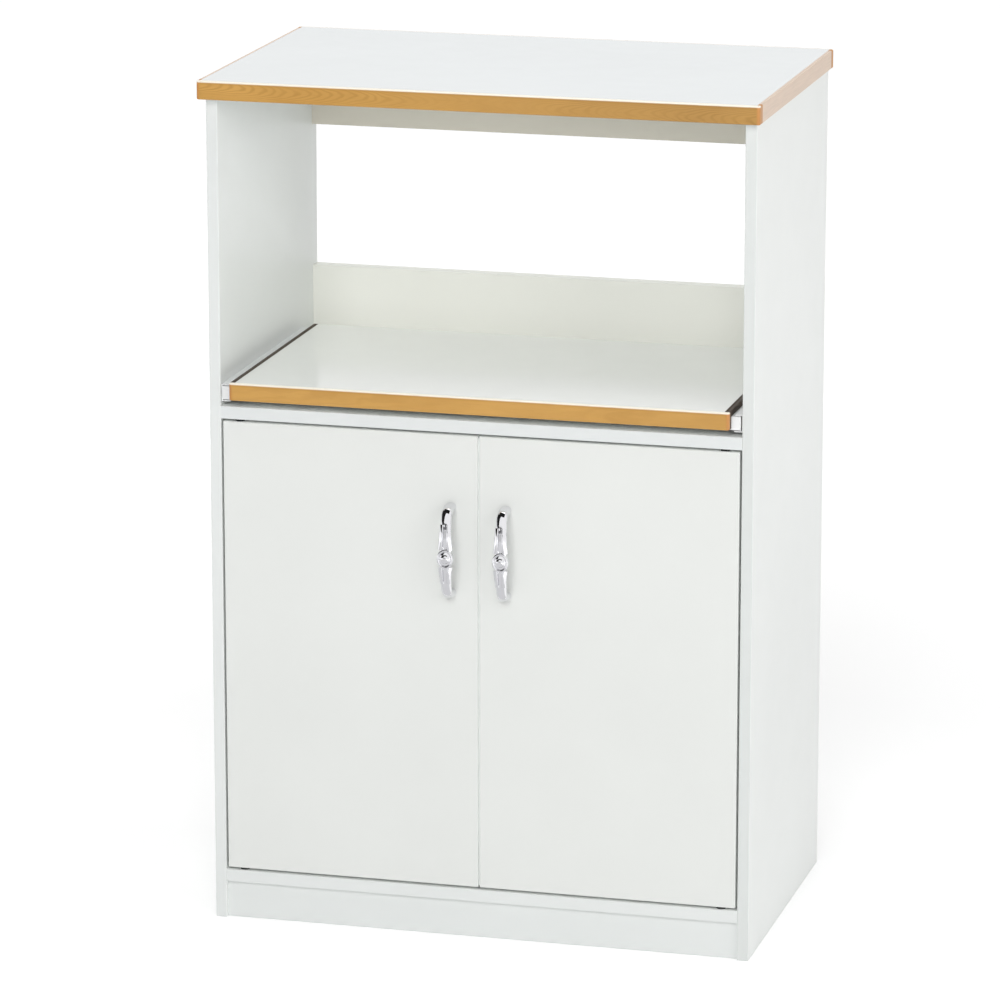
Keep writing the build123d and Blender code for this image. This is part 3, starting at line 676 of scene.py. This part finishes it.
def bow_line(sizes, half_height, reach):
    """Middle line of the bow, from the lower foot out to the grip and back to the upper foot."""
    grip = reach - sizes.button_rise - sizes.grip_thickness / 2
    foot = half_height - sizes.foot_thickness / 2

    def part_way(shares):
        return shares[0] * grip, shares[1] * half_height

    shoulder = part_way(SHOULDER)
    arm = ((grip, 0.0), part_way(ARM_STRAIGHT), part_way(ARM_BEND), shoulder)
    end = (shoulder, part_way(END_BEND), (END_TURN_REACH * grip, foot), (0.0, foot))
    upper = bend(arm, ARM_STATIONS) + bend(end, END_STATIONS)[1:]
    lower = [Vector((0.0, point.y, -point.z)) for point in reversed(upper[1:])]
    return lower + upper


def leaf_section():
    """Section of an arm's leaf: a groove between two round ribs."""
    right = list(LEAF_HALF_SECTION)
    left = [(-u, v) for u, v in reversed(right[1:])]
    return right + left


def add_leaf(bm, sizes, line, thicknesses, inner, outer):
    """Ribbed leaf on the front of the bow, low and narrow at its outer end and wider at the knot."""
    front = [point - Vector((0.0, thick / 2, 0.0)) for point, thick in zip(line, thicknesses)
             if min(inner, outer) <= point.z <= max(inner, outer)]
    turn = 1 if outer > inner else -1
    widths = (sizes.leaf_knot_width, sizes.leaf_end_width)[::turn]
    heights = [part * sizes.leaf_rise for part in LEAF_HEIGHTS][::turn]
    count = len(front)
    stations = path_stations(front, blend_sizes(count, *widths), blend_sizes(count, *heights))
    sweep(bm, leaf_section(), stations)


def add_dome(bm, place, half_sizes):
    """Rounded lump: a ball pressed to three half sizes."""
    matrix = Matrix.Translation(place) @ Matrix.Diagonal((*half_sizes, 1.0))
    bmesh.ops.create_uvsphere(bm, u_segments=DOME_SEGMENTS, v_segments=DOME_RINGS, radius=1.0,
                              matrix=matrix)


def add_ring(bm, points, radius):
    """Round wire through points that lie on a closed loop."""
    stations = []
    for n, point in enumerate(points):
        along = (points[(n + 1) % len(points)] - points[n - 1]).normalized()
        turn = along.to_track_quat("Z", "Y").to_matrix().to_4x4()
        stations.append(Matrix.Translation(point) @ turn @ Matrix.Diagonal((radius, radius, 1.0, 1.0)))
    sweep(bm, section_ring(RIM_SIDES, ROUND_FULLNESS), stations + stations[:1], closed=True)


def add_knot(bm, sizes, reach):
    """Oval boss with a rim round it and a domed round face."""
    rim = sizes.rim_wire / 2
    half_width = sizes.knot_width / 2
    half_height = sizes.knot_height / 2
    half_button = sizes.button_width / 2
    boss_front = reach - BOSS_SINK
    boss = Vector((0.0, BOSS_DEPTH - boss_front, -sizes.knot_drop))
    add_dome(bm, boss, (half_width, BOSS_DEPTH, half_height))
    button = Vector((0.0, BUTTON_DEPTH - reach, -sizes.knot_drop))
    add_dome(bm, button, (half_button, BUTTON_DEPTH, half_button))
    middle = Vector((0.0, rim - boss_front, -sizes.knot_drop))
    ring = []
    for n in range(RIM_STATIONS):
        turn = 2.0 * math.pi * n / RIM_STATIONS
        offset = Vector(((half_width - rim) * math.sin(turn), 0.0, (half_height - rim) * math.cos(turn)))
        ring.append(middle + offset)
    add_ring(bm, ring, rim)


def handle_mesh(sizes, half_height, reach):
    """Cast handle on the plane Y = 0: a bow, two ribbed leaves and a knot with a round face."""
    bm = bmesh.new()
    line = bow_line(sizes, half_height, reach)
    widths = blend_sizes(len(line), sizes.foot_width, sizes.shoulder_width, sizes.grip_width,
                         sizes.shoulder_width, sizes.foot_width)
    thicknesses = blend_sizes(len(line), sizes.foot_thickness, sizes.shoulder_thickness,
                              sizes.grip_thickness, sizes.shoulder_thickness, sizes.foot_thickness)
    sweep(bm, section_ring(BOW_SIDES, BOW_FULLNESS), path_stations(line, widths, thicknesses))
    for turn in (1.0, -1.0):
        inner = turn * LEAF_INNER_END * sizes.knot_height - sizes.knot_drop
        add_leaf(bm, sizes, line, thicknesses, inner, turn * sizes.leaf_reach)
    add_knot(bm, sizes, reach)
    bmesh.ops.recalc_face_normals(bm, faces=bm.faces)
    return bm


def add_mesh(name, bm, material):
    """New object from a finished bmesh, with its place in its mesh."""
    mesh = bpy.data.meshes.new(name)
    bm.to_mesh(mesh)
    bm.free()
    mesh.materials.append(material)
    item = bpy.data.objects.new(name, mesh)
    bpy.context.scene.collection.objects.link(item)
    return item


def add_piece(name, bm, material, body, slot, *replaced):
    """New smooth piece that rides on a body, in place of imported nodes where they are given."""
    piece = add_mesh(name, bm, material)
    piece.data.shade_smooth()
    piece.data.set_sharp_from_angle(angle=SHARP_EDGE)
    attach(piece, body)
    if replaced:
        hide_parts(*replaced)


class CABINET_OT_handles(bpy.types.Operator):
    """Model the two cast handles"""

    bl_idname = "cabinet.handles"
    bl_label = "Handles"

    def execute(self, context):
        sizes = context.scene.cabinet_handle
        chrome = plated_chrome("plated_chrome", context.scene.cabinet_finish.chrome_tint)
        for side in SIDES:
            low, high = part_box(f"{side}_handle")
            bm = handle_mesh(sizes, half_height=(high.z - low.z) / 2, reach=high.y - low.y)
            seat = Vector(((low.x + high.x) / 2, high.y, (low.z + high.z) / 2))
            bmesh.ops.translate(bm, vec=seat, verts=bm.verts)
            add_piece(f"{side}_cast_handle", bm, chrome, f"{side}_door", "chrome", f"{side}_handle")
        return {"FINISHED"}


class CABINET_OT_strip(bpy.types.Operator):
    """Model the closing strip on the left door's meeting edge"""

    bl_idname = "cabinet.strip"
    bl_label = "Closing Strip"

    def execute(self, context):
        tints = context.scene.cabinet_finish
        door_low, door_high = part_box("left_door_panel")
        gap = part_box("right_door_panel")[0].x - door_high.x
        low = Vector((door_high.x - STRIP_SEAT, door_low.y + STRIP_INSET, door_low.z + STRIP_END))
        high = Vector((door_high.x + STRIP_SHARE * gap, door_low.y + STRIP_DEPTH, door_high.z - STRIP_END))
        bm = bmesh.new()
        size = Matrix.Diagonal((*(high - low), 1.0))
        bmesh.ops.create_cube(bm, size=1.0, matrix=Matrix.Translation((low + high) / 2) @ size)
        bmesh.ops.bevel(bm, geom=bm.edges, offset=STRIP_ROUND, offset_type="OFFSET",
                        segments=STRIP_ROUND_SEGMENTS, profile=0.5, affect="EDGES", material=-1)
        soft_plastic = moulded_plastic("strip_plastic", tints.board_white, roughness=0.5)
        add_piece("left_closing_strip", bm, soft_plastic, "left_door", "door_facing")
        return {"FINISHED"}


def seen_or_mirrored(tree):
    """Light Path output that is 1 for rays from the camera, from gloss and through glass."""
    path = tree.nodes.new("ShaderNodeLightPath")
    total = path.outputs["Is Camera Ray"]
    for name in ("Is Glossy Ray", "Is Transmission Ray"):
        both = tree.nodes.new("ShaderNodeMath")
        both.operation = "MAXIMUM"
        tree.links.new(total, both.inputs[0])
        tree.links.new(path.outputs[name], both.inputs[1])
        total = both.outputs[0]
    return total


def studio_world(level):
    """White room: plain white where it is seen, and a soft even light on the object."""
    world = bpy.data.worlds.new("white_room")
    world.use_nodes = True
    tree = world.node_tree
    background = tree.nodes["Background"]
    background.inputs["Color"].default_value = (*WHITE, 1.0)
    strength = tree.nodes.new("ShaderNodeMapRange")
    strength.inputs["To Min"].default_value = level
    strength.inputs["To Max"].default_value = 1.0
    tree.links.new(seen_or_mirrored(tree), strength.inputs["Value"])
    tree.links.new(strength.outputs[0], background.inputs["Strength"])
    return world


def floor_material(tint, near_lift, far_lift):
    """Matt pale floor, lifted towards white where it is seen or mirrored, less so close to the object."""
    finish = Finish("pale_floor")
    distance = finish.add("ShaderNodeVectorMath", {0: finish.place}, operation="LENGTH").outputs["Value"]
    lift = finish.ramp(distance, FLOOR_NEAR, FLOOR_FAR, near_lift, far_lift)
    glow = finish.calc("MULTIPLY", seen_or_mirrored(finish.tree), lift)
    finish.set(Base_Color=tint, Roughness=0.9, Specular_IOR_Level=0.0)
    return finish.set(Emission_Color=WHITE, Emission_Strength=glow).material


def card_material(name, tint, glow):
    """Cloth with a faint weave and a given glow of its own."""
    finish = Finish(name)
    weave = finish.mottle(finish.noise(scale=400.0, detail=1.0), tint, darker=0.9, lighter=1.1)
    finish.set(Base_Color=weave, Roughness=0.95, Specular_IOR_Level=0.0)
    return finish.set(Emission_Color=WHITE, Emission_Strength=glow).material


def from_aim(aim, azimuth, elevation, distance):
    """Point at a distance from the aim, and the turn that looks back at it."""
    flat = math.cos(elevation)
    back = Vector((math.sin(azimuth) * flat, -math.cos(azimuth) * flat, math.sin(elevation)))
    return aim + back * distance, (-back).to_track_quat("-Z", "Y").to_euler()


def add_aimed(name, data, aim, azimuth, elevation, distance):
    """Lamp or camera that stands at a distance from the aim and looks at it."""
    item = bpy.data.objects.new(name, data)
    place, turn = from_aim(aim, azimuth, elevation, distance)
    item.location = place
    item.rotation_euler = turn
    bpy.context.scene.collection.objects.link(item)
    return item


def add_stage_plane(name, matrix, material):
    """Flat stage piece, two units square before its matrix."""
    bm = bmesh.new()
    bmesh.ops.create_grid(bm, x_segments=1, y_segments=1, size=1.0, matrix=matrix)
    item = add_mesh(name, bm, material)
    return item


def add_floor(studio):
    """Wide pale floor just under the object."""
    material = floor_material(studio.floor_white, studio.near_lift, studio.far_lift)
    drop = Matrix.Translation((0.0, 0.0, -FLOOR_DROP))
    add_stage_plane("floor", drop @ Matrix.Diagonal((FLOOR_REACH, FLOOR_REACH, 1.0, 1.0)), material)


def add_lamp(name, aim, level, azimuth, elevation, size, distance=LAMP_DISTANCE):
    """Square soft lamp that mirrors do not show; its level is the share of white that it gives."""
    lamp = bpy.data.lights.new(name, "AREA")
    lamp.shape = "SQUARE"
    lamp.size = size
    lamp.energy = level * (math.pi * distance) ** 2
    item = add_aimed(name, lamp, aim, math.radians(azimuth), math.radians(elevation), distance)
    item.visible_glossy = False


def add_overhead(name, level, spread):
    """Wide even light from straight above."""
    lamp = bpy.data.lights.new(name, "SUN")
    lamp.angle = math.radians(spread)
    lamp.energy = level * math.pi
    item = bpy.data.objects.new(name, lamp)
    bpy.context.scene.collection.objects.link(item)


def add_lamps(studio, aim):
    """Soft lamps all round and light from above."""
    add_lamp("key_lamp", aim, studio.key_level, azimuth=5.0, elevation=27.0, size=2.8, distance=5.5)
    add_lamp("fill_lamp", aim, studio.fill_level, azimuth=55.0, elevation=21.0, size=2.0)
    add_lamp("side_lamp", aim, studio.side_level, azimuth=95.0, elevation=35.0, size=2.4)
    add_lamp("left_lamp", aim, studio.left_level, azimuth=-100.0, elevation=30.0, size=2.4)
    add_lamp("back_lamp", aim, studio.back_level, azimuth=190.0, elevation=35.0, size=2.4)
    add_overhead("overhead_lamp", studio.top_level, spread=40.0)


def add_mirror_card(name, matrix, material):
    """Card that only mirrors show, for contrast in the plated handles."""
    card = add_stage_plane(name, matrix, material)
    card.visible_camera = False
    card.visible_diffuse = False
    card.visible_shadow = False


def facing_handles(azimuth, elevation, distance, half_width, half_height):
    """Matrix of a card that stands off from the handles and faces them."""
    middle = (sum(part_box("left_handle"), Vector()) + sum(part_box("right_handle"), Vector())) / 4
    place, turn = from_aim(middle, math.radians(azimuth), math.radians(elevation), distance)
    return Matrix.LocRotScale(place, turn, (half_width, half_height, 1.0))


def add_cards():
    """Cards above, beside and in front of the handles, and one on the floor."""
    black = card_material("black_cloth", tint=(0.02, 0.02, 0.02), glow=0.0)
    dusk = card_material("dusk_cloth", tint=(0.08, 0.08, 0.085), glow=0.10)
    grey = card_material("grey_cloth", tint=(0.34, 0.34, 0.35), glow=0.36)
    high = facing_handles(azimuth=-15.0, elevation=62.0, distance=1.5, half_width=1.08, half_height=0.58)
    left = facing_handles(azimuth=-62.0, elevation=27.0, distance=0.60, half_width=0.40, half_height=0.24)
    front = facing_handles(azimuth=-16.0, elevation=5.0, distance=1.2, half_width=0.30, half_height=0.075)
    haze = facing_handles(azimuth=-16.0, elevation=-3.0, distance=1.2, half_width=0.30, half_height=0.08)
    low = Matrix.LocRotScale(LOW_CARD_PLACE, None, LOW_CARD_HALF_SIZE)
    add_mirror_card("high_card", high, black)
    add_mirror_card("left_card", left, black)
    add_mirror_card("front_card", front, dusk)
    add_mirror_card("haze_card", haze, grey)
    add_mirror_card("low_card", low, grey)


def add_camera(studio, aim):
    """Camera that looks at the aim."""
    camera = bpy.data.cameras.new("camera")
    camera.lens = studio.lens
    return add_aimed("camera", camera, aim, studio.view_azimuth, studio.view_elevation,
                     studio.view_distance)


class CABINET_OT_stage(bpy.types.Operator):
    """Set up the floor, the light and the camera"""

    bl_idname = "cabinet.stage"
    bl_label = "Stage"

    def execute(self, context):
        scene = context.scene
        studio = scene.cabinet_studio
        aim = Vector(studio.aim)
        scene.view_settings.view_transform = "Standard"
        scene.world = studio_world(studio.dome_level)
        add_floor(studio)
        add_lamps(studio, aim)
        add_cards()
        scene.camera = add_camera(studio, aim)
        return {"FINISHED"}


class CABINET_PT_sidebar(bpy.types.Panel):
    """Lists the cabinet's steps and settings"""

    bl_idname = "CABINET_PT_sidebar"
    bl_label = "Appliance Cabinet"
    bl_space_type = "VIEW_3D"
    bl_region_type = "UI"
    bl_category = "Cabinet"

    def draw(self, context):
        scene = context.scene
        column = self.layout.column(align=True)
        for operator in OPERATORS:
            column.operator(operator.bl_idname)
        for group in (scene.cabinet_finish, scene.cabinet_handle, scene.cabinet_studio):
            box = self.layout.box()
            for name in group.__annotations__:
                box.prop(group, name)


OPERATORS = (CABINET_OT_facings, CABINET_OT_edging, CABINET_OT_fittings, CABINET_OT_handles,
             CABINET_OT_strip, CABINET_OT_stage)
CLASSES = (CabinetFinish, HandleCasting, StudioSetup, *OPERATORS, CABINET_PT_sidebar)


def register():
    for item in CLASSES:
        bpy.utils.register_class(item)
    bpy.types.Scene.cabinet_finish = PointerProperty(type=CabinetFinish)
    bpy.types.Scene.cabinet_handle = PointerProperty(type=HandleCasting)
    bpy.types.Scene.cabinet_studio = PointerProperty(type=StudioSetup)


def unregister():
    del bpy.types.Scene.cabinet_studio
    del bpy.types.Scene.cabinet_handle
    del bpy.types.Scene.cabinet_finish
    for item in reversed(CLASSES):
        bpy.utils.unregister_class(item)


def main():
    register()
    bpy.ops.cabinet.facings()
    bpy.ops.cabinet.edging()
    bpy.ops.cabinet.fittings()
    bpy.ops.cabinet.handles()
    bpy.ops.cabinet.strip()
    bpy.ops.cabinet.stage()


if __name__ == "__main__":
    main()
